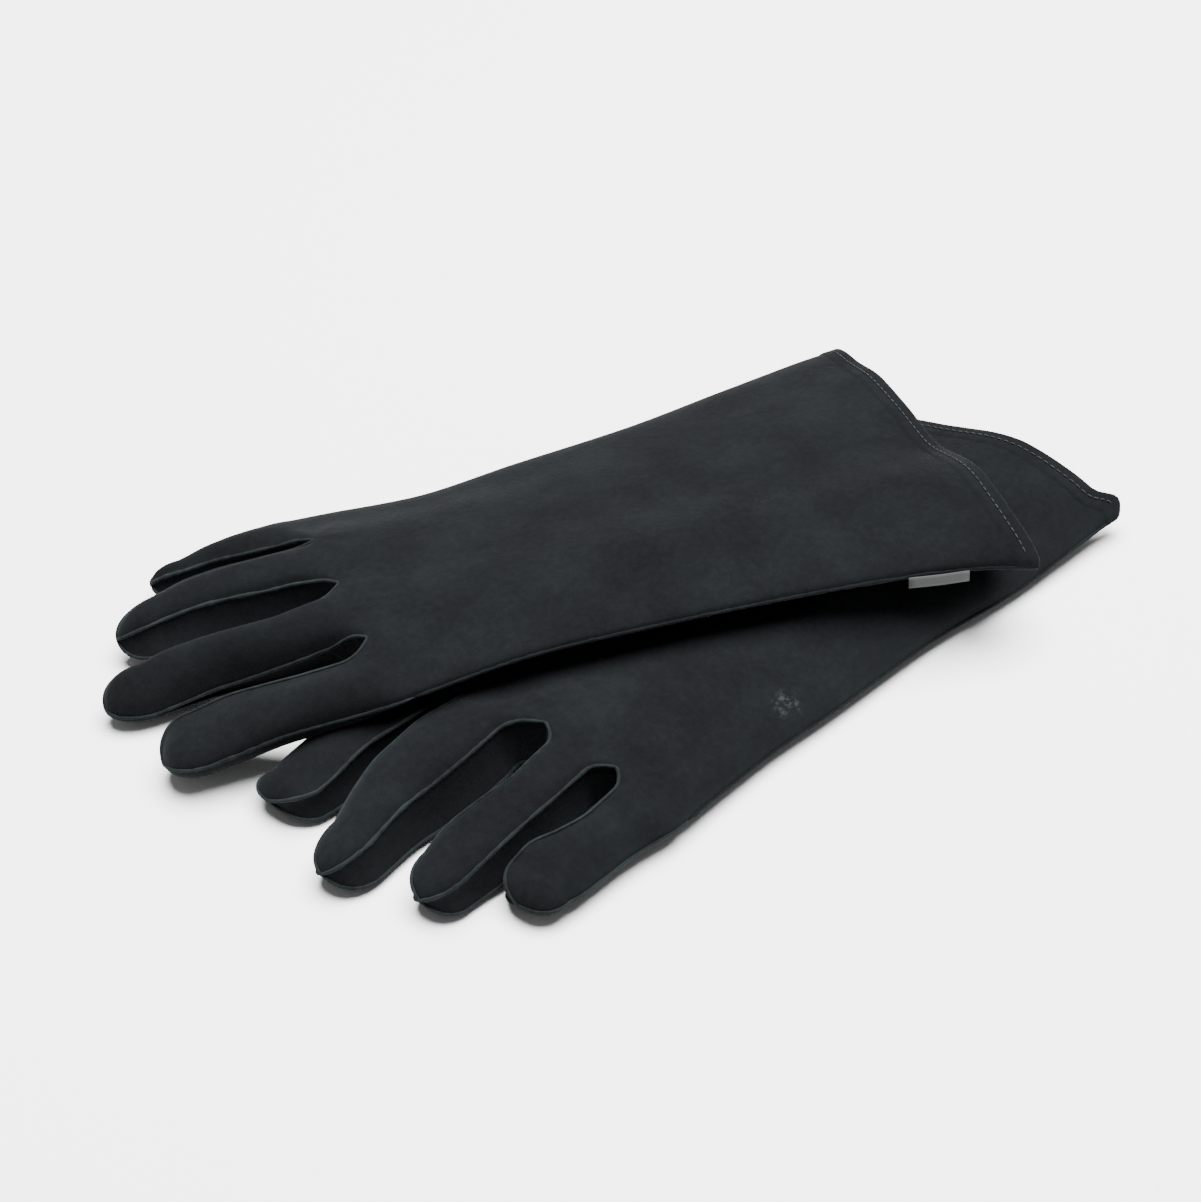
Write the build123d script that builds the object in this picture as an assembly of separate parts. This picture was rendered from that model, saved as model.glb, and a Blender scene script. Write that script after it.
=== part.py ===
from build123d import *
from math import cos, pi, radians, sin
import os

# A pair of five-finger gauntlet gloves in split leather, lying flat: the left glove on the
# surface and the right glove across it, backs up, thumbs tucked under the palms.
# Millimetres, +Z up, origin under the middle of the pair. Each glove has its own (u, v, w):
# u runs from the cuff mouth to the fingertips, v towards the little finger, w is height.

# Materials
LEATHER = 1.3                    # split leather thickness
LINING = 1.1                     # cotton lining thickness
GAP = 0.1                        # air between leather and lining
WALL = LEATHER + GAP + LINING

# Whole glove
CROSS_ANGLE = 28.03              # angle between the two gloves
LEFT_YAW = 13.95                 # left glove's share of that angle
KNUCKLE_U = 255.0                # finger hinge line, at the crotches between the fingers
BACK_END_U = 249.5               # where the back panel stops, clear of the turning fingers
PALM_END_U = 242.0               # where the palm panel stops, clear of the turning fingers
HEM_WIDTH = 8.0                  # folded hem at the cuff mouth
STITCH_U = 5.0                   # hem stitching, back from the mouth
STITCH_WIDTH = 0.8
STITCH_STANDS = 0.35             # how far the thread stands proud
SEAM_GAP = 1.0                   # between back and palm panels, filled by the welt
WELT_THICK = 0.7
WELT_IN = 1.2                    # welt reach inside and outside the seam line
WELT_OUT = 1.0
SEAM_DROP = 3.5                  # finger seams, below the top of the wall
TIP_SEAM = 0.25                  # where they meet on the nose, as a share of its half height

# Mouth centre of each glove before the pair is centred over the origin
RIGHT_MOUTH = (153.9, -19.6)
LEFT_MOUTH = (180.7, 3.9)
CENTRE_SHIFT = (-5.95, 2.56)      # brings the pair's middle over the origin

# Section shape
EDGE_POWER = 3.0                 # squareness of a section towards its side edges
CROWN_AT = 0.55                  # half-width fraction where side heights are given
SECTION_STEPS = 10
UNDER = -0.3                     # bottom height trimmed to the surface, so that the cuff lies flat

# Fingers
NOSE = 0.95                      # length of a rounded nose, as a share of its half width
CUT_PAST = 1.0                   # how far inner and trimming solids run past the wall's ends

# Label
LABEL_U = (26.0, 50.0)
LABEL_DROP = 6.5
LABEL_THICK = 0.7

# Thumb
THUMB_HEIGHT = 8.4
THUMB_WIDTH = 34.0
THUMB_TIP_WIDTH = 27.0
THUMB_LENGTH = 76.0              # root axis to tip
THUMB_HOLE_R = 11.0              # way from the hand into the thumb

FAR = 600.0                      # larger than anything here, for trimming blocks


class Station:
    """One cross-section of a hand and cuff, in the plane u."""

    def __init__(self, u, v_index, v_little, w_index, w_little, top, bottom):
        self.u = u
        self.v_index = v_index
        self.v_little = v_little
        self.w_index = w_index
        self.w_little = w_little
        self.top = top
        self.bottom = bottom

    def blend(self, other, rate):
        def mix(a, b):
            return a + (b - a) * rate

        return Station(
            mix(self.u, other.u),
            mix(self.v_index, other.v_index),
            mix(self.v_little, other.v_little),
            mix(self.w_index, other.w_index),
            mix(self.w_little, other.w_little),
            tuple(mix(a, b) for a, b in zip(self.top, other.top)),
            tuple(mix(a, b) for a, b in zip(self.bottom, other.bottom)),
        )

    def seam_height(self, s):
        return self.w_index + (self.w_little - self.w_index) * (s + 1) / 2

    def point(self, s, side, inset, seam_gap=SEAM_GAP):
        """Point at s, -1 at the index edge to 1 at the little edge; side 1 top, -1 bottom."""
        low, mid, high = self.top if side > 0 else self.bottom
        rise = min(1, abs(s) / CROWN_AT)
        crown = mid + ((high if s > 0 else low) - mid) * rise * rise * (3 - 2 * rise)
        crown -= side * inset
        seam = self.seam_height(s) + side * seam_gap / 2
        edge = (1 - abs(s) ** EDGE_POWER) ** (1 / EDGE_POWER)
        centre = (self.v_index + self.v_little) / 2
        half = (self.v_little - self.v_index) / 2 - inset
        return (self.u, centre + half * s, seam + (crown - seam) * edge)


class Glove:
    """Places local (u, v, w) points of one glove in the shared frame."""

    def __init__(self, name, mouth, yaw, hand, stations):
        self.name = name
        self.hand = hand         # 1 for the left glove, -1 for its mirror image
        self.stations = stations
        a = radians(yaw)
        self.along = Vector(-cos(a), -sin(a), 0)
        self.across = Vector(sin(a), -cos(a), 0) * hand
        self.mouth = Vector(mouth[0] + CENTRE_SHIFT[0], mouth[1] + CENTRE_SHIFT[1], 0)

    def station(self, u):
        """Section at any u, straight between the nearest given ones."""
        given = self.stations
        i = max(k for k in range(len(given) - 1) if k == 0 or given[k].u <= u)
        low, high = given[i], given[i + 1]
        return low.blend(high, (u - low.u) / (high.u - low.u))

    def span(self, u_start, u_end):
        """Sections from one u to another."""
        inside = [s for s in self.stations if u_start + 1 < s.u < u_end - 1]
        return [self.station(u_start)] + inside + [self.station(u_end)]

    def at(self, u, v, w):
        return self.mouth + self.along * u + self.across * v + Vector(0, 0, w)


def edge_fractions():
    """Fractions across a section, closer together towards its round edges."""
    values = []
    for i in range(SECTION_STEPS + 1):
        c = cos(pi * i / SECTION_STEPS)
        values.append(-abs(c) ** (2 / EDGE_POWER) * (1 if c > 0 else -1))
    return values


def loft_solid(wires):
    """Ruled solid through section wires, with its surface facing outward."""
    solid = Solid.make_loft(wires, ruled=True)
    return solid if solid.volume > 0 else Solid.make_loft(wires[::-1], ruled=True)


def half_wall(glove, side, u_start, u_end, outer, inner, seam_gap):
    """Top or bottom half of the hand wall over a length, between two insets."""
    wires = []
    for station in glove.span(u_start, u_end):
        out = [glove.at(*station.point(s, side, outer, seam_gap)) for s in edge_fractions()]
        back = [glove.at(*station.point(s, side, inner, seam_gap)) for s in edge_fractions()]
        edges = [
            Edge.make_spline(out),
            Edge.make_line(out[-1], back[-1]),
            Edge.make_spline(back[::-1]),
            Edge.make_line(back[0], out[0]),
        ]
        wires.append(Wire(edges))
    return loft_solid(wires)


def welt_loft(glove, index_side):
    """Strip sewn into a side seam."""
    wires = []
    for station in glove.span(HEM_WIDTH + GAP, PALM_END_U):
        if index_side:
            v_seam = station.v_index
            w_seam = station.w_index
            out = -1
        else:
            v_seam = station.v_little
            w_seam = station.w_little
            out = 1
        corners = []
        for v_off, w_off in ((-WELT_IN, -1), (WELT_OUT, -1), (WELT_OUT, 1), (-WELT_IN, 1)):
            w = w_seam + w_off * WELT_THICK / 2
            corners.append(glove.at(station.u, v_seam + out * v_off, w))
        wires.append(Wire.make_polygon(corners))
    return loft_solid(wires)


# Hand sections: u, index edge v, little edge v, their seam heights,
# then top and bottom heights at the index side, the middle and the little side.
LEFT_STATIONS = [
    Station(0, -87, 85, 6.5, 7, (11, 17, 27), (UNDER, UNDER, UNDER)),
    Station(45, -80, 78, 7, 8, (12.5, 17.5, 27), (UNDER, UNDER, UNDER)),
    Station(90, -74, 70, 8, 8, (15, 19, 26), (2, 1, UNDER)),
    Station(130, -69.5, 65.5, 12, 8, (19, 22.5, 26), (9.3, 9.2, 0.5)),
    Station(180, -66, 62, 12.5, 8, (19.6, 25, 25.5), (9.3, 9.3, 1)),
    Station(215, -64, 60, 12.5, 8, (19.6, 25.5, 26), (9.3, 9.3, 2)),
    Station(251, -66, 61, 12.5, 9, (22, 26, 26), (6.5, 4.5, 2)),
]
RIGHT_STATIONS = [
    Station(0, -90, 87, 38, 20, (50, 39, 38), (29, 24, 17)),
    Station(45, -80, 78, 39, 18, (49, 41, 35), (31, 25, 15)),
    Station(90, -74, 70, 39, 16, (48, 41, 33), (33.5, 28, 16)),
    Station(130, -69.5, 66, 38.5, 14.5, (47.5, 40.5, 31), (36, 28.8, 19.5)),
    Station(180, -66, 62, 37.5, 13.5, (46.5, 40, 31), (35.7, 28.8, 20)),
    Station(215, -64, 61, 35, 13, (44.5, 39, 31), (33, 27, 19.5)),
    Station(251, -66, 63, 31.5, 15, (40.5, 38, 33), (24, 18.5, 12)),
]

RIGHT = Glove("right", RIGHT_MOUTH, LEFT_YAW - CROSS_ANGLE, -1, RIGHT_STATIONS)
LEFT = Glove("left", LEFT_MOUTH, LEFT_YAW, 1, LEFT_STATIONS)


class Finger:
    """A finger stall from its hinge line to its tip, in its glove's (u, v, w)."""

    def __init__(self, name, v_base, u_tip, v_tip, width, tip_width, base, tip):
        self.name = name
        self.v_base = v_base
        self.u_tip = u_tip
        self.v_tip = v_tip
        self.width = width
        self.tip_width = tip_width
        self.base = base         # bottom and top height at the hinge line
        self.tip = tip           # bottom and top height at the tip

    def frame(self, glove):
        root = glove.at(KNUCKLE_U, self.v_base, sum(self.base) / 2)
        tip = glove.at(self.u_tip, self.v_tip, sum(self.tip) / 2)
        forward = (tip - root).normalized()
        side = Vector(0, 0, 1).cross(forward).normalized()
        plane = Plane(root, x_dir=forward, z_dir=forward.cross(side))
        return plane, (tip - root).length


LEFT_FINGERS = [
    Finger("index", -50.5, 334.5, -58, 30, 25, (4, 24.5), (0.3, 13.5)),
    Finger("middle", -17.5, 350, -22, 33, 27, (3, 26), (0.3, 13)),
    Finger("ring", 17.5, 336, 15, 31, 26, (3, 26), (0.3, 14)),
    Finger("little", 47.5, 316, 43, 27, 25, (2.5, 24), (0.3, 14)),
]
RIGHT_FINGERS = [
    Finger("index", -51, 336, -43, 30, 26, (26.5, 41), (4, 18.5)),
    Finger("middle", -17.5, 351, -4, 32, 27, (18, 39), (2, 18.5)),
    Finger("ring", 17, 337, 29, 31, 25, (14, 37), (1, 18.5)),
    Finger("little", 47.5, 316, 56, 27, 23, (11, 33), (2, 18)),
]


def side_prism(corners, y_from, y_to):
    """Block with a side-view outline given as (x, z) corners, over a width range."""
    outline = Plane.XZ * make_face(Polyline(*corners, close=True))
    block = extrude(outline, y_to - y_from, dir=(0, 1, 0))
    return Pos(0, y_from, 0) * block


def finger_form(finger, length, inset, start):
    """Solid inside a finger's wall at an inset, with a nose rounded in plan and in side view."""
    half_base = finger.width / 2 - inset
    half_tip = finger.tip_width / 2 - inset
    high_base = (finger.base[1] - finger.base[0]) / 2 - inset
    high_tip = (finger.tip[1] - finger.tip[0]) / 2 - inset
    end = length - inset
    plan_nose = end - half_tip * NOSE
    side_nose = end - high_tip * NOSE
    plan = Polyline((plan_nose, half_tip), (start, half_base), (start, -half_base), (plan_nose, -half_tip))
    plan += ThreePointArc((plan_nose, half_tip), (end, 0), (plan_nose, -half_tip))
    side = Polyline((side_nose, high_tip), (start, high_base), (start, -high_base), (side_nose, -high_tip))
    side += ThreePointArc((side_nose, high_tip), (end, 0), (side_nose, -high_tip))
    plan_block = Pos(0, 0, -FAR / 2) * extrude(make_face(plan), FAR)
    side_block = Pos(0, -FAR / 2, 0) * extrude(Plane.XZ * make_face(side), FAR, dir=(0, 1, 0))
    return plan_block & side_block


def finger_parts(finger, length, outer_side):
    """Back, palm, fourchettes and lining of one finger, in the finger's own frame."""
    shell = finger_form(finger, length, 0, 0) - finger_form(finger, length, LEATHER, -CUT_PAST)
    lining = finger_form(finger, length, LEATHER + GAP, 0)
    lining -= finger_form(finger, length, WALL, -CUT_PAST)
    high_base = (finger.base[1] - finger.base[0]) / 2
    high_tip = (finger.tip[1] - finger.tip[0]) / 2
    seam = high_base - SEAM_DROP
    meet = -high_tip * TIP_SEAM
    near = -CUT_PAST
    past = length + CUT_PAST
    above = side_prism([(near, seam), (past, meet), (past, FAR), (near, FAR)], -FAR, FAR)
    below = side_prism([(near, -seam), (past, meet), (past, -FAR), (near, -FAR)], -FAR, FAR)
    if outer_side:
        span = sorted((0, outer_side * FAR))
        above += side_prism([(near, 0), (past, meet), (past, FAR), (near, FAR)], *span)
        below += side_prism([(near, 0), (past, meet), (past, -FAR), (near, -FAR)], *span)
    back = shell & above
    palm = shell & below
    walls = shell - above - below
    return {"back": back, "palm": palm, "fourchettes": walls, "lining": lining}


class Thumb:
    """A flattened thumb stall that swings about an axis through its round root."""

    def __init__(self, u, v, w, heading, slope_u, slope_v):
        self.root = (u, v, w)
        self.heading = heading   # degrees from u towards v
        self.slope_u = slope_u   # fall of the palm over the thumb, along u and v
        self.slope_v = slope_v

    def frame(self, glove):
        root = glove.at(*self.root)
        axis = Vector(0, 0, 1) + glove.along * self.slope_u + glove.across * self.slope_v
        a = radians(self.heading)
        forward = glove.along * cos(a) + glove.across * sin(a)
        axis = axis.normalized()
        forward = (forward - axis * forward.dot(axis)).normalized()
        return Plane(root, x_dir=forward, z_dir=axis)


LEFT_THUMB = Thumb(145, -38, 4.5, 20, 0, 0)
RIGHT_THUMB = Thumb(150, -28, 28.0, 35, 0.034, 0.2)


def thumb_form(inset):
    """Solid inside the thumb's wall at an inset, round at its root and its tip."""
    half_root = THUMB_WIDTH / 2 - inset
    half_tip = THUMB_TIP_WIDTH / 2 - inset
    high = THUMB_HEIGHT / 2 - inset
    end = THUMB_LENGTH - inset
    nose = end - half_tip
    side_nose = end - high * NOSE
    plan = Polyline((nose, half_tip), (0, half_root))
    plan += ThreePointArc((0, half_root), (-half_root, 0), (0, -half_root))
    plan += Polyline((0, -half_root), (nose, -half_tip))
    plan += ThreePointArc((nose, half_tip), (end, 0), (nose, -half_tip))
    side = Polyline((side_nose, high), (-half_root, high), (-half_root, -high), (side_nose, -high))
    side += ThreePointArc((side_nose, high), (end, 0), (side_nose, -high))
    plan_block = Pos(0, 0, -FAR / 2) * extrude(make_face(plan), FAR)
    side_block = Pos(0, -FAR / 2, 0) * extrude(Plane.XZ * make_face(side), FAR, dir=(0, 1, 0))
    return plan_block & side_block


def thumb_hole():
    """The way from the hand down into the thumb, in the thumb's frame."""
    return Pos(0, 0, FAR / 2) * Cylinder(THUMB_HOLE_R, FAR)


def thumb_parts():
    """Upper and lower panel and lining of a thumb, in the thumb's own frame."""
    shell = thumb_form(0) - thumb_form(LEATHER)
    lining = thumb_form(LEATHER + GAP) - thumb_form(WALL) - thumb_hole()
    upper = shell & side_prism([(-FAR, 0), (FAR, 0), (FAR, FAR), (-FAR, FAR)], -FAR, FAR)
    return {"thumb_upper": upper - thumb_hole(), "thumb_lower": shell - upper, "thumb_lining": lining}


def label(glove):
    """Small woven tab sewn into the index-side seam near the cuff, hanging outside it."""
    start, end = LABEL_U
    middle = glove.station((start + end) / 2)
    v = middle.v_index - WELT_OUT - LABEL_THICK
    ahead = glove.at(end, glove.station(end).v_index, 0) - glove.at(start, glove.station(start).v_index, 0)
    centre = glove.at(middle.u, v, middle.w_index - LABEL_DROP / 2)
    plane = Plane(centre, x_dir=ahead, z_dir=(0, 0, 1))
    return plane * Box(end - start, LABEL_THICK, LABEL_DROP)


def fused_solid(shape):
    """One solid, or a compound of separate ones, ready to write."""
    solids = [s for s in shape.solids() if s.volume > 1]
    return solids[0] if len(solids) == 1 else Compound(children=solids)


BELOW = Pos(0, 0, -FAR / 2) * Box(3 * FAR, 3 * FAR, FAR)   # everything under the surface
parts = {}
hands = ((LEFT, LEFT_FINGERS, LEFT_THUMB), (RIGHT, RIGHT_FINGERS, RIGHT_THUMB))
for glove, fingers, thumb in hands:
    name = glove.name
    root = thumb.frame(glove)
    hole = root * thumb_hole()
    start = HEM_WIDTH + GAP
    skin = (LEATHER + GAP, WALL, 2 * GAP)
    back_panel = half_wall(glove, 1, start, BACK_END_U, 0, LEATHER, SEAM_GAP)
    palm_panel = half_wall(glove, -1, start, PALM_END_U, 0, LEATHER, SEAM_GAP)
    hem_back = half_wall(glove, 1, 0, HEM_WIDTH, 0, WALL, 0)
    hem_palm = half_wall(glove, -1, 0, HEM_WIDTH, 0, WALL, 0)
    thread = half_wall(glove, 1, STITCH_U, STITCH_U + STITCH_WIDTH, -STITCH_STANDS, 0, 0)
    parts[name + "_back_panel"] = back_panel
    parts[name + "_palm_panel"] = palm_panel - hole - BELOW
    parts[name + "_back_lining"] = half_wall(glove, 1, start, BACK_END_U, *skin)
    parts[name + "_palm_lining"] = half_wall(glove, -1, start, PALM_END_U, *skin) - hole
    parts[name + "_cuff_hem"] = Compound(children=[hem_back, hem_palm - BELOW])
    parts[name + "_hem_stitching"] = thread
    welts = [welt_loft(glove, index_side) for index_side in (True, False)]
    parts[name + "_side_welts"] = Compound(children=welts)
    for finger in fingers:
        plane, length = finger.frame(glove)
        outer_side = {"index": -1, "little": 1}.get(finger.name, 0) * glove.hand
        for piece, shape in finger_parts(finger, length, outer_side).items():
            parts[f"{name}_{finger.name}_{piece}"] = plane * shape
    for piece, shape in thumb_parts().items():
        parts[f"{name}_{piece}"] = root * shape
parts["right_label"] = label(RIGHT)

os.makedirs("parts", exist_ok=True)
for node, shape in parts.items():
    export_step(fused_solid(shape), f"parts/{node}.step")
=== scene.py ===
import math

import bpy
import numpy as np
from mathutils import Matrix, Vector, noise


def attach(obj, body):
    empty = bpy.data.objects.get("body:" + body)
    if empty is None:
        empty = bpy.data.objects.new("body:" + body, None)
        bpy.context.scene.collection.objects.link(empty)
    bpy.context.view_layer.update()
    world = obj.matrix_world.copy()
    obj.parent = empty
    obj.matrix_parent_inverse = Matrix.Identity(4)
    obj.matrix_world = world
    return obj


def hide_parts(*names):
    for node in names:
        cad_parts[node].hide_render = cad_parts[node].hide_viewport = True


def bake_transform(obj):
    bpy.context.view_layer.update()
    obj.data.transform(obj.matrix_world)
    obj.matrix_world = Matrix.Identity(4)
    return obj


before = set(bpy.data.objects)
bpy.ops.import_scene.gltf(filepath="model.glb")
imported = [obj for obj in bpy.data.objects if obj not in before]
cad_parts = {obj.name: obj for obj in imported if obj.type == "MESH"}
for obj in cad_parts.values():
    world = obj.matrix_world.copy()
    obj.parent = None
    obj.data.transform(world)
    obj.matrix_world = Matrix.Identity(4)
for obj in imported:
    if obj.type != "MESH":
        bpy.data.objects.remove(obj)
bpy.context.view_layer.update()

# ---------------------------------------------------------------- driving sizes (millimetres)
# In a glove's own frame u runs from the cuff mouth to the fingertips, v from the index
# side to the little side, and w up from the floor.
MM = 0.001
HINGE_U = 255.0                  # finger hinge line and crotches
SPLIT_U = 247.0                  # where the hand piece ends and the finger pieces start
LAST_U = 268.0                   # last row of the hand tables
BEND_U = (251.0, 271.0)          # a finger's skin turns from hand to finger between these
HEM = 9.0                        # folded hem
STITCH_U = 5.0                   # line of hem stitches
STITCH_PITCH = 3.3
STITCH_LENGTH = 2.7
WALL = 2.5                       # leather and lining together
EDGE_POWER = 2.6                 # squareness of a cuff section towards its side edges
NOSE_POWER = 2.2                 # squareness of a fingertip
CROWN_S = (-1.0, -0.8, -0.5, 0.0, 0.5, 0.8, 1.0)
CROTCHES = (-36.0, 0.0, 34.0)    # across the hand, between the fingers
CROTCH_ROUND = 5.0               # length over which a crotch opens
CROTCH_OPENING = 2.2             # how far each wall stands back from its crotch line
MERGE = 20.0                     # length over which a finger leaves the hand's own surface
WALL_LIP = 3.0                   # height of a wall's lower seam over the bottom panel
WALL_HOLLOW = 1.6                # how far a wall is drawn in halfway down
ROLL_LENGTH = 70.0               # length over which the left cuff's little edge rolls up
ROLL_TOP = 11.0                  # drop of the top panel at the rolled edge
LITTLE_EDGE = 61.0               # outer edge of the little finger at its root
HALF_FINGER = 17.0               # half a finger's width at its root
FINGERS = ("index", "middle", "ring", "little")
TOP_STEPS = 16                   # across a panel
WALL_STEPS = 6                   # down a side wall
NOSE_STEPS = 14                  # along a fingertip
RIDGE_SIDES = 8                  # round a raised seam
HIDE_SEEDS = {"left": 3.0, "right": 11.0}


class Glove:
    """One glove's placement and its hand and finger tables."""

    def __init__(self, name, mouth, yaw, hand):
        a = math.radians(yaw)
        self.name = name
        self.hand = hand
        self.mouth = np.array([mouth[0], mouth[1], 0.0])
        self.along = np.array([-math.cos(a), -math.sin(a), 0.0])
        self.across = np.array([math.sin(a), -math.cos(a), 0.0]) * hand

    def place(self, uvw):
        """Local millimetres to world metres, for any array of (u, v, w)."""
        uvw = np.asarray(uvw, float)
        world = self.mouth + uvw[..., :1] * self.along + uvw[..., 1:2] * self.across
        world = world + uvw[..., 2:3] * np.array([0.0, 0.0, 1.0])
        return world * MM


LEFT = Glove("left", (174.75, 6.46), 13.95, 1)
RIGHT = Glove("right", (147.95, -17.04), -14.08, -1)

# Hand rows: u, index edge v, little edge v, index seam height, little seam height,
# top heights at CROWN_S[1:-1], bottom heights there
LEFT.rows = np.array([
    (0, -84, 88.5, 6.5, 10.5, 10, 10.5, 19.5, 31, 29.5, 0.2, 0.2, 8, 22.5, 17),
    (25, -82, 84.5, 7, 8.5, 11, 12, 19.5, 29.5, 27, 0.2, 0.2, 6, 15, 9),
    (60, -78, 80.5, 8, 7, 13, 14, 19.8, 28.5, 25, 0.6, 0.6, 2, 2, 0.2),
    (110, -72, 71.5, 10, 7, 16.5, 17, 21.5, 27, 23.5, 5, 5, 5, 0.3, 0.2),
    (160, -68, 66.8, 12.4, 7, 18.6, 19.2, 24.2, 26.5, 22.5, 9.6, 9.6, 9.5, 0.8, 0.2),
    (205, -65, 62, 12.4, 7.4, 18.8, 19.4, 25.3, 26.5, 22, 9.6, 9.6, 9.5, 1.5, 0.5),
    (240, -65.5, 61, 13, 8.2, 21, 22.5, 26, 26.5, 23, 6, 6, 5, 2, 1.5),
    (268, -68, 61, 13, 8.8, 22, 23.5, 25.5, 26, 23, 4, 4, 3, 2.5, 2),
], float)
RIGHT.rows = np.array([
    (0, -91, 87, 37, 22, 49.6, 51, 38.8, 40, 34.5, 31, 30, 25, 18.5, 18),
    (25, -84, 83.5, 38.5, 20.5, 49, 50, 41.5, 39.5, 37, 32, 31, 25.5, 17, 16.5),
    (60, -78, 78, 39, 19, 48.2, 49, 43, 38.8, 36.5, 33, 32.5, 26.5, 16, 14.5),
    (110, -72, 70.5, 38.5, 16.5, 47, 48, 42, 37.2, 35.5, 35.5, 35.2, 28.5, 18, 14),
    (160, -68, 67, 38, 14.5, 46, 47, 41, 36, 33.5, 36.2, 36, 29, 20, 15),
    (205, -65, 63.5, 36, 13.5, 43.5, 45, 40, 35, 31, 34, 33.5, 27.5, 19.8, 14.5),
    (240, -66, 65.5, 33, 14.5, 41, 42.5, 39.5, 36, 31.5, 28, 26, 20, 14, 11.5),
    (268, -66.5, 68, 29, 15, 38, 40, 38, 34.5, 29.5, 20, 19, 15, 11, 10),
], float)

# Finger rows: u, v and height of the seam on the index side, the same on the little side,
# top height, bottom height. The last row is the tip.
LEFT.fingers = {
    "index": [
        (255, -67, 13, -36, 25, 24, 4),
        (284, -70, 12, -41.5, 22, 24.5, 2.5),
        (304, -71.5, 11, -45, 19.5, 21.5, 1.2),
        (319, -72, 9.5, -44.5, 17, 18.5, 0.6),
        (327, -71.5, 9, -45.5, 15, 16.5, 0.5),
        (338, -62, 9, -62, 9, 9, 3),
    ],
    "middle": [
        (255, -36, 25, 0, 25.5, 26, 3),
        (258, -36.6, 24.8, -4.6, 25.4, 26.2, 3),
        (262, -37.2, 24.4, -8.4, 25, 26.4, 2.8),
        (267, -38.2, 24, -10.4, 24.4, 26.5, 2.5),
        (285, -42, 21.5, -10, 23.5, 25.5, 1.5),
        (301, -42, 19.5, -11, 21.5, 23, 1),
        (317, -39, 17.5, -12.5, 19.5, 21, 0.6),
        (334, -33.5, 15, -11.5, 16.5, 18, 0.5),
        (352, -21, 9.5, -21, 9.5, 9.5, 4),
    ],
    "ring": [
        (255, 0, 25.5, 34, 25, 26, 3),
        (258, 3.2, 25.5, 31, 24.8, 26.2, 2.8),
        (263, 5.4, 25.5, 28.4, 24.5, 26.5, 2.5),
        (281, 5.5, 23.5, 28, 23, 25.5, 1.5),
        (296, 3, 21.5, 27, 21, 23.5, 1),
        (314, 1, 18.5, 26.5, 18.5, 20.5, 0.6),
        (325, 2, 15.5, 25.5, 15.5, 17.5, 0.5),
        (338.5, 14, 9, 14, 9, 9, 4),
    ],
    "little": [
        (255, 34, 25, 60, 9, 22.5, 3),
        (258, 36, 24.4, 59.6, 8.8, 22.3, 2.8),
        (263, 37.6, 23.4, 58.8, 8.5, 22, 2.5),
        (276, 37, 21.5, 57, 8.5, 21, 1.6),
        (288, 32.5, 18.5, 56, 8, 19.5, 1),
        (299, 27, 15.5, 55.3, 8, 17.5, 0.6),
        (305, 26.5, 13, 54, 8, 15.5, 0.5),
        (317.5, 41, 8, 41, 8, 8, 4),
    ],
}
RIGHT.fingers = {
    "index": [
        (255, -66, 31, -36, 38.5, 40.5, 24),
        (266, -63.5, 28, -40, 36.5, 39, 19),
        (280, -60.5, 25, -38.8, 34.5, 36.5, 14.5),
        (296, -58, 22, -33.5, 29.5, 32, 10),
        (311, -57, 18.5, -29, 24.5, 27, 5.5),
        (323, -56, 15.5, -28, 20.5, 23, 3),
        (338, -43, 10.5, -43, 10.5, 10.5, 6),
    ],
    "middle": [
        (255, -36, 38.5, 0, 36, 38.8, 17),
        (259, -32.6, 36, -0.8, 35.4, 38.6, 16),
        (266, -28, 30.5, -1.2, 34.4, 37.8, 14.5),
        (280, -23.5, 24, -0.8, 31, 34.6, 11),
        (296, -18.5, 17.5, 2.4, 27, 30.5, 7),
        (313, -15, 12.5, 6.8, 22.5, 25.5, 4),
        (327, -14.8, 9.5, 9, 18.5, 21.5, 2.5),
        (334, -15, 8.5, 9, 16, 19, 2),
        (350.5, -3, 8.5, -3, 8.5, 8.5, 4),
    ],
    "ring": [
        (255, 0, 36, 34, 33, 36.5, 13.5),
        (259, 4.4, 34.8, 34.8, 32.6, 36.2, 12.5),
        (267, 10.5, 32.5, 36.5, 31.4, 35, 11),
        (279, 15.5, 28.5, 39.5, 28.8, 32, 8.5),
        (295, 22, 24, 44, 24.6, 27.4, 5.5),
        (308, 26, 20, 46, 20.8, 23.4, 3.5),
        (319, 27.5, 16.8, 45.5, 17.4, 20, 2.5),
        (337, 31.5, 10.5, 31.5, 10.5, 10.5, 5),
    ],
    "little": [
        (255, 34, 33, 66.5, 15.5, 29, 11),
        (265, 42.5, 27, 67.5, 14.5, 27.2, 9),
        (280, 48.2, 22.5, 67.6, 13.5, 24.8, 6.5),
        (292, 52, 19.5, 66.8, 12.5, 22, 4.5),
        (304, 54, 16.5, 64.6, 11.5, 18.6, 3.5),
        (316.5, 59, 10.5, 59, 10.5, 10.5, 6),
    ],
}


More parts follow.
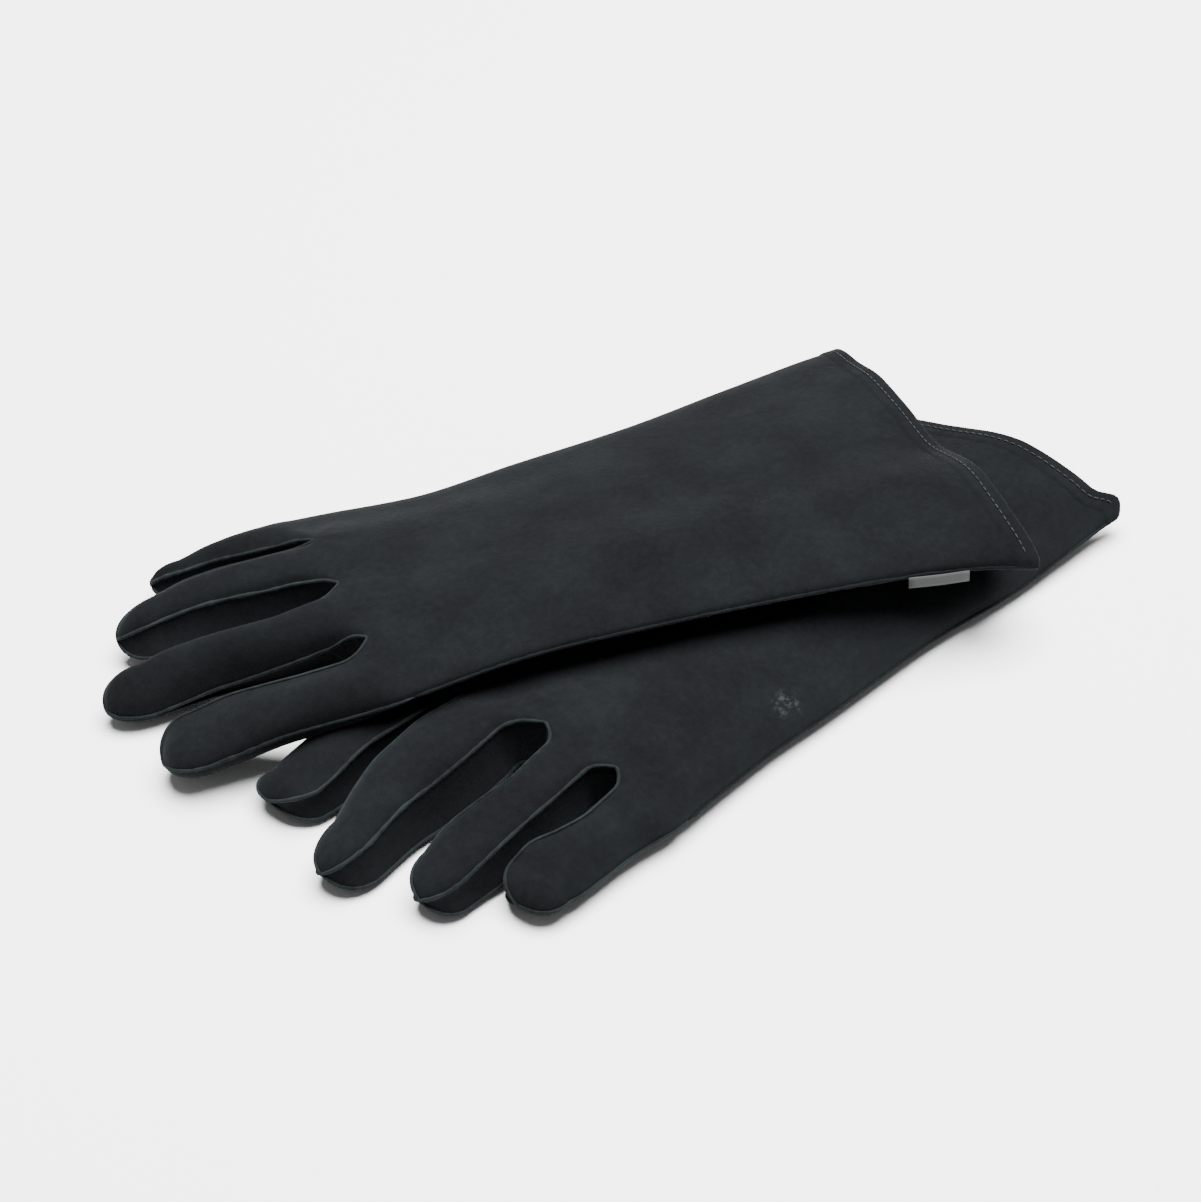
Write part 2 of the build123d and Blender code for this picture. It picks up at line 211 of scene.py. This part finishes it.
# ---------------------------------------------------------------- small maths
def curve(xs, ys, x):
    """Smooth curve through given points, with no overshoot."""
    xs, ys, x = np.asarray(xs, float), np.asarray(ys, float), np.asarray(x, float)
    h = np.diff(xs)
    slope = np.diff(ys) / h
    tangent = np.zeros(len(xs))
    tangent[0], tangent[-1] = slope[0], slope[-1]
    for k in range(1, len(xs) - 1):
        if slope[k - 1] * slope[k] > 0:
            a, b = 2 * h[k] + h[k - 1], h[k] + 2 * h[k - 1]
            tangent[k] = (a + b) / (a / slope[k - 1] + b / slope[k])
    k = np.clip(np.searchsorted(xs, x) - 1, 0, len(h) - 1)
    t = np.clip((x - xs[k]) / h[k], -1.5, 2.5)
    inside = np.clip(t, 0, 1)
    t2, t3 = inside**2, inside**3
    y = (2 * t3 - 3 * t2 + 1) * ys[k] + (t3 - 2 * t2 + inside) * h[k] * tangent[k]
    y = y + (3 * t2 - 2 * t3) * ys[k + 1] + (t3 - t2) * h[k] * tangent[k + 1]
    y = y + (t - inside) * h[k] * np.where(t > 1, tangent[k + 1], tangent[k])
    return y


def ease(x):
    """0 to 1, level at both ends."""
    x = np.clip(x, 0, 1)
    return x * x * (3 - 2 * x)


def roundness(s, power):
    """1 in the middle, turning down to 0 at s = -1 and 1."""
    return (1 - np.abs(np.clip(s, -1, 1)) ** power) ** (1 / power)


def ripple(u, v, seed):
    """Soft unevenness of hide that has been worn and laid down, in millimetres."""
    flat = np.stack([np.ravel(u), np.ravel(v)], axis=1)
    out = np.empty(len(flat))
    for i, (a, b) in enumerate(flat):
        out[i] = 0.55 * noise.noise(Vector((a / 46, b / 30, seed)))
        out[i] += 0.22 * noise.noise(Vector((a / 15, b / 13, seed + 4)))
        out[i] += 0.07 * noise.noise(Vector((a / 5, b / 5, seed + 9)))
    return out.reshape(np.shape(u))


# ---------------------------------------------------------------- hand surface
def edges(glove, u):
    """Index edge v, little edge v, index seam height and little seam height at u."""
    return [float(curve(glove.rows[:, 0], glove.rows[:, i], u)) for i in range(1, 5)]


def fraction(v, low, high):
    """-1 at low and 1 at high, held between them."""
    return np.clip((v - (low + high) / 2) / ((high - low) / 2), -1, 1)


def dent(glove, u, v):
    """Marks of handling on the back of the hand, in millimetres."""
    if glove.name == "left":
        hollow = -1.4 * np.exp(-(((u - 249) / 12) ** 2) - ((v - 31) / 8) ** 2)
        fold = 0.9 * np.exp(-(((v - 31 + 0.45 * (u - 249)) / 3.2) ** 2) - ((u - 238) / 20) ** 2)
        valley = -0.9 * np.exp(-(((v - 22 - 0.7 * (u - 249)) / 4) ** 2) - ((u - 240) / 14) ** 2)
        return hollow + fold + valley
    crease = -0.6 * np.exp(-(((v + 12 + 0.1 * u) / 12) ** 2) - ((u - 70) / 50) ** 2)
    pucker = 0.0
    for crotch in CROTCHES:
        angle = np.arctan2(v - crotch, HINGE_U - u)
        far = np.hypot(v - crotch, HINGE_U - u)
        pucker = pucker + 0.35 * np.sin(7 * angle + crotch) * np.exp(-((far - 7) / 7) ** 2)
    return crease + pucker


def mouth_shift(glove, u, v, side):
    """How far the cuff edge stands out past a straight cut, in millimetres."""
    shift = 0.5 * np.sin(v / 40 + side)
    if glove.name == "left" and side < 0:
        shift = shift - 4.5 * np.exp(-(((v - 50) / 20) ** 4))
    if glove.name == "left":
        shift = shift - 9.5 * np.exp(-(((v - 84.5) / 5) ** 2))
    return shift * ease((32 - u) / 32)


def hand_row(glove, u, s, side, out=0.0, smooth=False):
    """Points (u, v, w) across the hand at u, at fractions s from -1 to 1, lifted by out.

    The back has side 1 and the palm side -1. A smooth row has no marks of wear.
    """
    low, high, seam_low, seam_high = edges(glove, u)
    first = 5 if side > 0 else 10
    columns = range(first, first + 5)
    heights = [float(curve(glove.rows[:, 0], glove.rows[:, i], u)) for i in columns]
    rolled = 0.0
    if glove.name == "left":
        full = ROLL_TOP if side > 0 else heights[-1] - 3.5
        rolled = full * float(ease((ROLL_LENGTH - u) / ROLL_LENGTH))
    crown = curve(CROWN_S, [heights[0]] + heights + [heights[-1] - rolled], s)
    seam = seam_low + (seam_high - seam_low) * (s + 1) / 2
    v = (low + high) / 2 + ((high - low) / 2 + out) * s
    if not smooth:
        seed = HIDE_SEEDS[glove.name]
        fade = 1 - np.abs(s) ** 6
        if side > 0:
            crown = crown + (ripple(u + 0 * v, v, seed) + dent(glove, u, v)) * fade
        else:
            crown = crown + 0.3 * np.abs(ripple(u + 0 * v, v, seed + 20)) * fade
    w = seam + (crown + side * out - seam) * roundness(s, EDGE_POWER)
    uu = u + mouth_shift(glove, u, v, side)
    return np.stack([uu, v, np.maximum(w, 0.0)], axis=-1)


# ---------------------------------------------------------------- finger surface
LEAN = {                          # how far each wall's lower seam stands out past its upper one
    "left": {"index": (0, 3), "middle": (-1, 6), "ring": (-2, 3), "little": (-1, 0)},
    "right": {"index": (0, -1), "middle": (-2, -2), "ring": (7, -5), "little": (4, 0)},
}


def sides(name):
    """Whether a finger has a side wall facing its neighbour: index side, little side."""
    return name != "index", name != "little"


def top_fractions(name):
    """0 to 1 across a finger, closer together towards an outer seam."""
    t = np.linspace(0, 1, TOP_STEPS + 1)
    if name == "index":
        return t**1.6
    if name == "little":
        return 1 - (1 - t)**1.6
    return t


def finger_frame(glove, name, u):
    """Seams, heights and nose closing of a finger at u."""
    rows = np.array(glove.fingers[name], float)
    body, tip = rows[:-1], rows[-1]
    u1, u2 = body[-1, 0], tip[0]
    at = np.clip(u, body[0, 0], u1)
    vi, wi, vl, wl, top, bottom = [float(curve(body[:, 0], body[:, i], at)) for i in range(1, 7)]
    round_off = 1.0
    if u > u1:
        t = min((u - u1) / (u2 - u1), 1.0)
        round_off = (1 - t**NOSE_POWER) ** (1 / NOSE_POWER)
        centre = (vi + vl) / 2 + (tip[1] - (vi + vl) / 2) * t
        half = (vl - vi) / 2
        vi, vl = centre - half * round_off, centre + half * round_off
        wi, wl, top, bottom = (tip[2] + (x - tip[2]) * round_off for x in (wi, wl, top, bottom))
    wall_i, wall_l = sides(name)
    merge = float(ease((u - SPLIT_U) / MERGE))
    low, high, seam_low, seam_high = edges(glove, min(u, LAST_U))
    opened = min(max((u - HINGE_U) / CROTCH_ROUND, 0), 1)
    opening = CROTCH_OPENING * math.sqrt(opened) * round_off
    if wall_i:
        vi += opening
    else:
        vi, wi = low + (vi - low) * merge, seam_low + (wi - seam_low) * merge
    if wall_l:
        vl -= opening
    else:
        vl, wl = high + (vl - high) * merge, seam_high + (wl - seam_high) * merge
    return vi, wi, vl, wl, top, bottom, round_off, merge


def rise(t, reach=0.8, power=2.2):
    """0 at an outer seam, turning up to 1 at the fraction reach."""
    x = 1 - np.clip(t / reach, 0, 1)
    return (1 - x**power) ** (1 / power)


def panel(name, t, wi, wl, middle):
    """Height across a top or bottom panel, from the index side to the little side."""
    if name == "index":
        level = middle + (wl - middle) * ease((t - 0.45) / 0.55)
        return wi + (level - wi) * rise(t)
    if name == "little":
        level = middle + (wi - middle) * ease((0.55 - t) / 0.55)
        return wl + (level - wl) * rise(1 - t)
    line = wi + (wl - wi) * t
    return line + (middle - (wi + wl) / 2) * roundness(2 * t - 1, 2.0)


def finger_row(glove, name, u):
    """The pieces of the section at u: top, little wall, bottom, index wall, each (u, v, w)."""
    vi, wi, vl, wl, top, bottom, close, merge = finger_frame(glove, name, u)
    wall_i, wall_l = sides(name)
    seed = HIDE_SEEDS[glove.name]
    t = top_fractions(name)
    v = vi + (vl - vi) * t
    own = panel(name, t, wi, wl, top)
    fade = np.minimum(rise(t, 0.3), rise(1 - t, 0.3)) * close
    own = own + 1.3 * ripple(u + 0 * v, v, seed) * fade
    reach = float(ease((u - BEND_U[0]) / 6))
    for wall, d in ((wall_i, v - vi), (wall_l, vl - v)):
        if wall:
            own = own - 0.75 * np.exp(-((d / 2.2) ** 2)) * reach * close
    at = min(u, LAST_U)
    low, high = edges(glove, at)[:2]
    low, high = (low if wall_i else vi), (high if wall_l else vl)
    hand = hand_row(glove, at, fraction(v, low, high), 1)[:, 2]
    w = hand + (own - hand) * merge
    top_row = np.stack([u + 0 * v, v, w], axis=-1)

    lean_i, lean_l = LEAN[glove.name][name]
    spread = float(ease((u - HINGE_U) / 14)) * close
    bi = vi - lean_i * spread if wall_i else vi
    bl = vl + lean_l * spread if wall_l else vl
    t = top_fractions(name)
    v = bi + (bl - bi) * t
    low_i = bottom + WALL_LIP * close if wall_i else wi
    low_l = bottom + WALL_LIP * close if wall_l else wl
    own = panel(name, t, low_i, low_l, bottom)
    hand = hand_row(glove, at, fraction(v, low, high), -1)[:, 2]
    w = np.maximum(hand + (own - hand) * merge, 0.0)
    bottom_row = np.stack([u + 0 * v, v, w], axis=-1)

    def wall(a, b, inward):
        x = np.linspace(0, 1, WALL_STEPS + 1)[:, None]
        points = a + (b - a) * x
        points[:, 1] += inward * WALL_HOLLOW * np.sin(np.pi * x[:, 0]) * spread
        return points

    row = {"top": top_row, "bottom": bottom_row}
    if wall_l:
        row["little_wall"] = wall(top_row[-1], bottom_row[-1], -1)
    if wall_i:
        row["index_wall"] = wall(top_row[0], bottom_row[0], 1)
    return row


def finger_stations(glove, name):
    """Where a finger's sections are, close together at the crotches and at the tip."""
    rows = glove.fingers[name]
    u1, u2 = rows[-2][0], rows[-1][0]
    start = [SPLIT_U, 249, 251, 253, 254.4, 255, 255.25, 255.7, 256.4, 257.4, 258.8, 260.4]
    body = list(np.arange(262.5, u1 - 1, 2.2))
    quarter = math.pi / 2 / NOSE_STEPS
    nose = [u1 + (u2 - u1) * math.sin(quarter * k) for k in range(NOSE_STEPS + 1)]
    return start + body + nose


# ---------------------------------------------------------------- meshes
class Skin:
    """A mesh gathered from grids. Points are shared by place; normals run on within a group."""

    normals = {}

    def __init__(self, glove):
        self.glove = glove
        self.points = []
        self.index = {}
        self.faces = []
        self.corners = []

    def vertex(self, p):
        key = tuple(np.round(p, 5))
        if key not in self.index:
            self.index[key] = len(self.points)
            self.points.append(tuple(p))
        return self.index[key], key

    def grid(self, rows, group, flip=False):
        """Adds a grid of local points. Faces look along (row step) x (column step)."""
        world = self.glove.place(np.asarray(rows, float))
        count, width = world.shape[:2]
        keyed = [[self.vertex(world[i, j]) for j in range(width)] for i in range(count)]
        for i in range(count - 1):
            for j in range(width - 1):
                face = [keyed[i][j], keyed[i + 1][j], keyed[i + 1][j + 1], keyed[i][j + 1]]
                if flip != (self.glove.hand < 0):
                    face.reverse()
                ring = [c for k, c in enumerate(face) if c[0] != face[k - 1][0]]
                if len({c[0] for c in ring}) < 3:
                    continue
                self.faces.append([c[0] for c in ring])
                places = [np.array(self.points[c[0]]) for c in ring]
                normal = np.cross(places[1] - places[0], places[2] - places[0])
                if len(ring) == 4:
                    normal = normal + np.cross(places[2] - places[0], places[3] - places[0])
                names = [(self.glove.name, group, c[1]) for c in ring]
                self.corners.append(names)
                for n in names:
                    Skin.normals[n] = Skin.normals.get(n, 0) + normal

    def build(self, name, material):
        mesh = bpy.data.meshes.new(name)
        mesh.from_pydata(self.points, [], self.faces)
        mesh.materials.append(material)
        mesh.polygons.foreach_set("use_smooth", [True] * len(self.faces))
        obj = bpy.data.objects.new(name, mesh)
        bpy.context.scene.collection.objects.link(obj)
        self.obj = obj
        return obj

    def set_normals(self):
        """Run once every skin is built, so that two pieces that meet shade as one."""
        out = []
        for names in self.corners:
            for n in names:
                total = np.asarray(Skin.normals.get(n, (0.0, 0.0, 1.0)), float)
                size = float(np.linalg.norm(total))
                out.append(tuple(total / size) if size > 0 else (0.0, 0.0, 1.0))
        self.obj.data.normals_split_custom_set(out)


def ridge(glove, path, out, width, height, taper=2):
    """A thin raised seam swept along a path of local points, with one outward direction each."""
    world = glove.place(path)
    n = len(world)
    tangent = np.gradient(world, axis=0)
    tangent /= np.linalg.norm(tangent, axis=1)[:, None] + 1e-12
    outward = glove.place(np.asarray(path) + out) - world
    outward -= tangent * np.sum(outward * tangent, axis=1)[:, None]
    outward /= np.linalg.norm(outward, axis=1)[:, None] + 1e-12
    side = np.cross(tangent, outward)
    points, faces = [], []
    for i in range(n):
        scale = min(1.0, 0.25 + min(i, n - 1 - i) / taper)
        wave = 1 + 0.5 * noise.noise(Vector(world[i] * 420))
        for k in range(RIDGE_SIDES):
            a = 2 * math.pi * (k + 0.5) / RIDGE_SIDES
            offset = side[i] * math.cos(a) * width / 2 * wave
            offset = offset + outward[i] * (math.sin(a) * height / 2 + height * 0.16)
            points.append(world[i] + offset * MM * scale)
    for i in range(n - 1):
        here, there = i * RIDGE_SIDES, (i + 1) * RIDGE_SIDES
        for k in range(RIDGE_SIDES):
            m = (k + 1) % RIDGE_SIDES
            faces.append((here + k, here + m, there + m, there + k))
    faces.append(tuple(range(RIDGE_SIDES - 1, -1, -1)))
    faces.append(tuple((n - 1) * RIDGE_SIDES + k for k in range(RIDGE_SIDES)))
    return points, faces


def join(name, parts, material):
    """One smooth object from several lists of points and faces."""
    points, faces = [], []
    for some, more in parts:
        base = len(points)
        points.extend(tuple(p) for p in some)
        faces.extend(tuple(base + i for i in face) for face in more)
    mesh = bpy.data.meshes.new(name)
    mesh.from_pydata(points, [], faces)
    mesh.validate()
    mesh.polygons.foreach_set("use_smooth", [True] * len(mesh.polygons))
    mesh.materials.append(material)
    obj = bpy.data.objects.new(name, mesh)
    bpy.context.scene.collection.objects.link(obj)
    return obj


# ---------------------------------------------------------------- materials
def leather(name, dark, light, rough, bump, scuff=None):
    """Split leather: matt, nearly black, mottled at several sizes, with a short nap."""
    material = bpy.data.materials.new(name)
    material.use_nodes = True
    nodes, links = material.node_tree.nodes, material.node_tree.links
    shader = nodes["Principled BSDF"]
    shader.inputs["Roughness"].default_value = rough
    shader.inputs["Specular IOR Level"].default_value = 0.05
    shader.inputs["Sheen Weight"].default_value = 0.03
    shader.inputs["Sheen Roughness"].default_value = 0.5
    shader.inputs["Sheen Tint"].default_value = (0.55, 0.66, 0.70, 1)
    where = nodes.new("ShaderNodeTexCoord")

    def cloud(scale, detail, roughness=0.6):
        node = nodes.new("ShaderNodeTexNoise")
        node.inputs["Scale"].default_value = scale
        node.inputs["Detail"].default_value = detail
        node.inputs["Roughness"].default_value = roughness
        links.new(where.outputs["Object"], node.inputs["Vector"])
        return node.outputs["Fac"]

    def ramp(source, low, high, a, b):
        node = nodes.new("ShaderNodeMapRange")
        node.inputs["From Min"].default_value = low
        node.inputs["From Max"].default_value = high
        node.inputs["To Min"].default_value = a
        node.inputs["To Max"].default_value = b
        links.new(source, node.inputs["Value"])
        return node.outputs["Result"]

    def add(a, b):
        node = nodes.new("ShaderNodeMath")
        node.operation = "ADD"
        links.new(a, node.inputs[0])
        links.new(b, node.inputs[1])
        return node.outputs["Value"]

    patches = ramp(cloud(28, 4), 0.35, 0.68, 0.0, 0.55)
    flecks = ramp(cloud(330, 3), 0.36, 0.72, 0.0, 0.34)
    grain = ramp(cloud(1500, 2), 0.35, 0.70, 0.0, 0.20)
    mix = nodes.new("ShaderNodeMix")
    mix.data_type = "RGBA"
    links.new(add(add(patches, flecks), grain), mix.inputs["Factor"])
    mix.inputs["A"].default_value = dark + (1,)
    mix.inputs["B"].default_value = light + (1,)
    tone = mix.outputs["Result"]
    if scuff is not None:
        away = nodes.new("ShaderNodeVectorMath")
        away.operation = "DISTANCE"
        links.new(where.outputs["Object"], away.inputs[0])
        away.inputs[1].default_value = scuff
        near = ramp(away.outputs["Value"], 0.002, 0.0085, 1.0, 0.0)
        streaks = ramp(cloud(420, 4, 0.7), 0.50, 0.66, 0.0, 1.0)
        rubbed = nodes.new("ShaderNodeMath")
        rubbed.operation = "MULTIPLY"
        links.new(near, rubbed.inputs[0])
        links.new(streaks, rubbed.inputs[1])
        pale = nodes.new("ShaderNodeMix")
        pale.data_type = "RGBA"
        links.new(rubbed.outputs["Value"], pale.inputs["Factor"])
        links.new(tone, pale.inputs["A"])
        pale.inputs["B"].default_value = (0.030, 0.034, 0.035, 1)
        tone = pale.outputs["Result"]
    links.new(tone, shader.inputs["Base Color"])
    nap = nodes.new("ShaderNodeBump")
    nap.inputs["Strength"].default_value = bump
    nap.inputs["Distance"].default_value = 0.0004
    links.new(add(flecks, grain), nap.inputs["Height"])
    links.new(nap.outputs["Normal"], shader.inputs["Normal"])
    return material


def plain(name, colour, rough):
    """One even colour with hardly any shine."""
    material = bpy.data.materials.new(name)
    material.use_nodes = True
    shader = material.node_tree.nodes["Principled BSDF"]
    shader.inputs["Base Color"].default_value = colour + (1,)
    shader.inputs["Roughness"].default_value = rough
    shader.inputs["Specular IOR Level"].default_value = 0.2
    return material


SUEDE_TONES = ((0.0020, 0.0020, 0.0024), (0.0052, 0.0062, 0.0067), 0.95, 0.5)
SCUFF_AT = LEFT.place((182.0, 57.5, 20.0))
SUEDE = leather("suede", *SUEDE_TONES)
SCUFFED = leather("scuffed_suede", *SUEDE_TONES, scuff=tuple(SCUFF_AT))
WELT = leather("welt_leather", (0.003, 0.0038, 0.0042), (0.015, 0.0185, 0.0195), 0.95, 0.6)
# A darker copy of the welt leather for the side welts: painted shade, where the sides of the hand turn
# away from the light
SHADED_WELT = leather("side_welt_painted_shade", (0.0022, 0.0026, 0.0030), (0.0070, 0.0084, 0.0090), 0.95, 0.6)
LINING = plain("cotton_lining", (0.003, 0.003, 0.003), 1.0)
THREAD = plain("hem_thread", (0.017, 0.0185, 0.020), 0.8)
LABEL = plain("woven_label", (0.038, 0.039, 0.039), 0.8)


# ---------------------------------------------------------------- one glove
def hand_fractions(glove):
    """Fractions across the hand that meet every finger's own at the joint line."""
    low, high = edges(glove, SPLIT_U)[:2]
    bounds_v = [low] + list(CROTCHES) + [high]
    v = []
    for k, name in enumerate(FINGERS):
        t = top_fractions(name)
        v.extend(bounds_v[k] + (bounds_v[k + 1] - bounds_v[k]) * t[(1 if k else 0):])
    return (np.array(v) - (low + high) / 2) / ((high - low) / 2)


def make_skin(glove, s):
    """Back and palm of the hand and cuff."""
    name = glove.name
    stations = list(np.arange(4, 244, 2.4)) + [244.5, SPLIT_U]
    skin = Skin(glove)
    skin.grid([hand_row(glove, u, s, 1) for u in stations], "top")
    skin.grid([hand_row(glove, u, s, -1) for u in stations], "bottom", flip=True)
    obj = skin.build(name + "_hand_skin", SCUFFED if glove is LEFT else SUEDE)
    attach(obj, name + "_hand")
    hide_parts(name + "_back_panel", name + "_palm_panel")
    return skin


def make_inside(glove, s):
    """The lined inside of the cuff and hand, closed at its far end."""
    name = glove.name
    lining = Skin(glove)
    inside = [1.5, 6, 14] + list(np.arange(24, 228, 12))
    for side in (1, -1):
        rows = [hand_row(glove, u, s, side, -WALL, smooth=True) for u in inside]
        end = rows[-1].copy()
        facing = hand_row(glove, inside[-1], s, -side, -WALL, smooth=True)
        end[:, 2] = 0.5 * (end[:, 2] + facing[:, 2])
        rows.append(end)
        lining.grid(rows, "lining %d" % side, flip=side > 0)
    inner = lining.build(name + "_cuff_inside", LINING)
    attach(inner, name + "_hand")
    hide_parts(name + "_back_lining", name + "_palm_lining")
    return lining


def make_hem(glove, s):
    """The folded cuff edge: (u, how far out from the surface) round the fold."""
    name = glove.name
    fold = [(HEM + 1.2, -0.1), (HEM, 0.45), (HEM - 1, 0.6), (5.6, 0.6), (STITCH_U, 0.35), (4.4, 0.6),
            (1.4, 0.55), (0.5, 0.2), (0.05, -0.5), (0.0, -1.2), (0.15, -1.9), (0.8, -2.6),
            (2.4, -2.9), (11, -2.8)]
    hem = Skin(glove)
    for side in (1, -1):
        rows = [hand_row(glove, u, s, side, out) for u, out in fold]
        hem.grid(rows, "hem %d" % side, flip=side > 0)
    band = hem.build(name + "_hem_band", SUEDE)
    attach(band, name + "_hand")
    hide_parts(name + "_cuff_hem")
    return hem


def make_welts(glove):
    """The raised seams down both sides of the hand and cuff."""
    name = glove.name
    welts = []
    for sign in (-1, 1):
        us = np.arange(1.0, SPLIT_U + 2, 2.0)
        path = np.array([hand_row(glove, u, np.array([sign * 1.0]), 1)[0] for u in us])
        out = np.tile([0.0, sign * 1.0, 0.25], (len(us), 1))
        welts.append(ridge(glove, path, out, 1.5, 1.1))
    # The side welts take the darker copy of the welt leather, which is painted shade
    welt = join(name + "_welts", welts, SHADED_WELT)
    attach(welt, name + "_hand")
    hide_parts(name + "_side_welts")


def make_stitches(glove):
    """The dashed line of thread along the hem, above and below."""
    name = glove.name
    stitches = []
    for side in (1, -1):
        samples = np.linspace(-0.97, 0.97, 900)
        line = hand_row(glove, STITCH_U, samples, side, 0.62)
        walk = np.concatenate([[0], np.cumsum(np.linalg.norm(np.diff(line, axis=0), axis=1))])
        for start in np.arange(1, walk[-1] - 4, STITCH_PITCH):
            at = start + np.linspace(0, STITCH_LENGTH, 5)
            path = np.stack([np.interp(at, walk, line[:, k]) for k in range(3)], axis=-1)
            path[:, 2] += side * 0.18 * np.sin(np.linspace(0, math.pi, 5))
            out = np.tile([0.0, 0.0, float(side)], (5, 1))
            stitches.append(ridge(glove, path, out, 0.6, 0.5, taper=1.2))
    thread = join(name + "_stitches", stitches, THREAD)
    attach(thread, name + "_hand")
    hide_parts(name + "_hem_stitching")


def make_hand(glove):
    s = hand_fractions(glove)
    skins = [make_skin(glove, s), make_inside(glove, s), make_hem(glove, s)]
    make_welts(glove)
    make_stitches(glove)
    return skins


def seam_centres(stations, rows):
    """A point inside each section, from which its seams stand outwards."""
    centres = []
    for u, row in zip(stations, rows):
        loop = np.concatenate([row["top"], row["bottom"]])
        start = stations[-NOSE_STEPS - 1]
        back = 7.0 * float(ease((u - start) / (stations[-1] - start)))
        centres.append(loop.mean(axis=0) - np.array([back, 0, 0]))
    return centres


def make_finger(glove, name):
    side = glove.name
    stations = finger_stations(glove, name)
    rows = [finger_row(glove, name, u) for u in stations]
    skin = Skin(glove)
    skin.grid([r["top"] for r in rows], "top")
    skin.grid([r["bottom"] for r in rows], "bottom", flip=True)
    if "little_wall" in rows[0]:
        skin.grid([r["little_wall"] for r in rows], name + " little wall")
    if "index_wall" in rows[0]:
        skin.grid([r["index_wall"] for r in rows], name + " index wall", flip=True)
    obj = skin.build("%s_%s_finger_skin" % (side, name), SUEDE)
    prefix = "%s_%s_" % (side, name)
    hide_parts(prefix + "back", prefix + "palm", prefix + "fourchettes", prefix + "lining")

    wall_i, wall_l = sides(name)
    centres = seam_centres(stations, rows)
    parts = []
    for which in ("top", "bottom"):
        starts = []
        for wall, column in ((wall_i, 0), (wall_l, -1)):
            begin = HINGE_U - 0.7 if wall else SPLIT_U
            keep = [k for k, u in enumerate(stations) if u >= begin]
            if which == "bottom" and not wall:
                keep = []
            starts.append([(rows[k][which][column], centres[k]) for k in keep])
        chain = starts[0] + starts[1][::-1]
        path = np.array([p for p, c in chain])
        out = np.array([p - c for p, c in chain])
        keep = np.concatenate([[True], np.linalg.norm(np.diff(path, axis=0), axis=1) > 0.15])
        parts.append(ridge(glove, path[keep], out[keep], 1.5, 1.25))
    seam = join("%s_%s_finger_seams" % (side, name), parts, WELT)
    middle = (CROTCHES + (LITTLE_EDGE,))[FINGERS.index(name)] - HALF_FINGER
    a, b = [glove.place([u, middle, 15.0]) for u in BEND_U]
    for piece in (obj, seam):
        tuple(a)
        tuple(b)
        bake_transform(piece)
    return skin


skins = []
for glove in (LEFT, RIGHT):
    skins.extend(make_hand(glove))
    for finger in FINGERS:
        skins.append(make_finger(glove, finger))
for skin in skins:
    skin.set_normals()

# The plain woven label caught in the right glove's index-side seam
tag_rows = []
drop = np.array([0.0, 1.5, 3.0, 4.6])
for u in np.linspace(27.5, 51.5, 9):
    seam = hand_row(RIGHT, u, np.array([-1.0]), 1)[0]
    out = 1.4 + 0.3 * math.sin(u / 5) + 0.15 * drop
    tag_rows.append(np.stack([u + 0 * drop, seam[1] - out, seam[2] + 0.6 - drop], axis=-1))
tag = Skin(RIGHT)
tag.grid(tag_rows, "label")
tag_obj = tag.build("woven_label", LABEL)
shell = tag_obj.modifiers.new("cloth", "SOLIDIFY")
shell.thickness = 0.0005
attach(tag_obj, "right_hand")
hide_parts("right_label")

# The thumbs lie hidden under the palms and keep their modelled shapes
for side in ("left", "right"):
    for part, material in (("upper", SUEDE), ("lower", SUEDE), ("lining", LINING)):
        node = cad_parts["%s_thumb_%s" % (side, part)]
        node.data.materials.clear()
        node.data.materials.append(material)

# ---------------------------------------------------------------- floor, light and camera
bpy.ops.mesh.primitive_plane_add(size=8, location=(0, 0, 0))
floor = bpy.context.object
floor.name = "floor"
floor.data.materials.append(plain("white_floor", (0.9, 0.9, 0.9), 1.0))

world = bpy.data.worlds.new("studio")
bpy.context.scene.world = world
world.use_nodes = True
world.node_tree.nodes["Background"].inputs["Color"].default_value = (1, 1, 1, 1)
world.node_tree.nodes["Background"].inputs["Strength"].default_value = 0.25


def area_light(name, place, target, size, power):
    data = bpy.data.lights.new(name, "AREA")
    data.shape = "DISK"
    data.size = size
    data.energy = power
    lamp = bpy.data.objects.new(name, data)
    lamp.location = place
    aim = Vector(target) - Vector(place)
    lamp.rotation_euler = aim.to_track_quat("-Z", "Y").to_euler()
    bpy.context.scene.collection.objects.link(lamp)


area_light("overhead", (0.35, 0.15, 2.1), (0, 0, 0), 2.2, 330)

eye = bpy.data.cameras.new("camera")
eye.sensor_fit = "HORIZONTAL"
eye.sensor_width = 36.0
eye.lens = 76.26
eye.shift_y = 0.0183
camera = bpy.data.objects.new("camera", eye)
camera.location = (-0.4582, -0.6200, 0.6644)
look = Vector((-0.00595, 0.00256, 0.0)) - camera.location
camera.rotation_euler = look.to_track_quat("-Z", "Y").to_euler()
bpy.context.scene.collection.objects.link(camera)
bpy.context.scene.camera = camera
